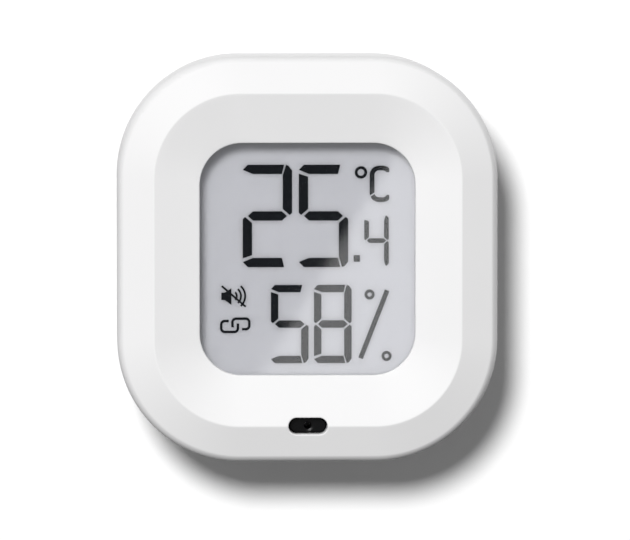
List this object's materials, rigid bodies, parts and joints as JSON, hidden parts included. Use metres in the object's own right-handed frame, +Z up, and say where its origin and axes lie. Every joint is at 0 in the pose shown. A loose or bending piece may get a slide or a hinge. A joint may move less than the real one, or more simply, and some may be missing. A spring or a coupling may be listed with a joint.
{
  "type": "temperature humidity sensor",
  "caption": "Rounded desk and wall sensor with a dished face, segment display, sensor slot, coin-cell door and pairing button; shows room temperature and humidity.",
  "frame": {"origin": "middle of the bounding box's bottom, under the straight bottom edge that the sensor stands on", "axes": "-Y out of the display face, +Y out of the back, +Z up, +X to the right as seen from the front"},
  "size_m": [0.045, 0.016, 0.048],
  "materials": {
    "white_shell": "fine satin white moulding",
    "clear_window": "clear glossy plastic",
    "dark_tape": "matte foam tape",
    "polariser": "clear film",
    "display_glass": "polished glass",
    "segment_dark": "dark display segments",
    "seal_line": "cured seal",
    "reflector_grey": "grey diffuse film",
    "frame_white": "moulded",
    "elastomer": "matte",
    "board_green": "solder resist",
    "chip_black": "moulded black",
    "plated_steel": "plated",
    "copper_track": "bare track",
    "passive_tan": "fired",
    "membrane_white": "porous film",
    "boot_black": "soft matte",
    "brass_disc": "bright",
    "button_white": "satin",
    "screw_steel": "zinc plated"
  },
  "bodies": {
    "case": {"front_housing": "white_shell", "display_window": "clear_window", "window_adhesive": "dark_tape", "lcd_front_polariser": "polariser", "lcd_front_glass": "display_glass", "lcd_segments": "segment_dark", "lcd_seal": "seal_line", "lcd_rear_glass": "display_glass", "lcd_reflector": "reflector_grey", "lcd_frame": "frame_white", "zebra_strip": "elastomer", "main_board": "board_green", "radio_chip": "chip_black", "crystal": "plated_steel", "board_antenna": "copper_track", "board_passives": "passive_tan", "humidity_sensor": "chip_black", "sensor_filter": "membrane_white", "sensor_boot": "boot_black", "buzzer_case": "chip_black", "buzzer_disc": "brass_disc", "switch_body": "chip_black", "switch_cover": "plated_steel", "cell_can": "plated_steel", "cell_gasket": "elastomer", "cell_cap": "plated_steel", "positive_contact": "brass_disc", "negative_contact": "plated_steel", "rear_housing": "white_shell", "case_screws": "screw_steel", "board_screws": "screw_steel"},
    "door": {"battery_door": "white_shell"},
    "button": {"pair_button": "button_white"},
    "plunger": {"switch_plunger": "chip_black"}
  },
  "joints": [
    {"name": "door_turn", "type": "hinge", "parent": "case", "child": "door", "pos_m": [0, 0.0072, 0.0195], "axis": [0, 1, 0], "range_deg": [0, 35]},
    {"name": "button_press", "type": "slide", "parent": "case", "child": "button", "axis": [0, -1, 0], "range_m": [0, 0.0003], "stiffness_N_per_m": 400},
    {"name": "switch_press", "type": "slide", "parent": "case", "child": "plunger", "axis": [0, -1, 0], "range_m": [0, 0.0005]}
  ],
  "couplings": [
    {"joint": "switch_press", "follows": "button_press", "ratio": 1}
  ]
}
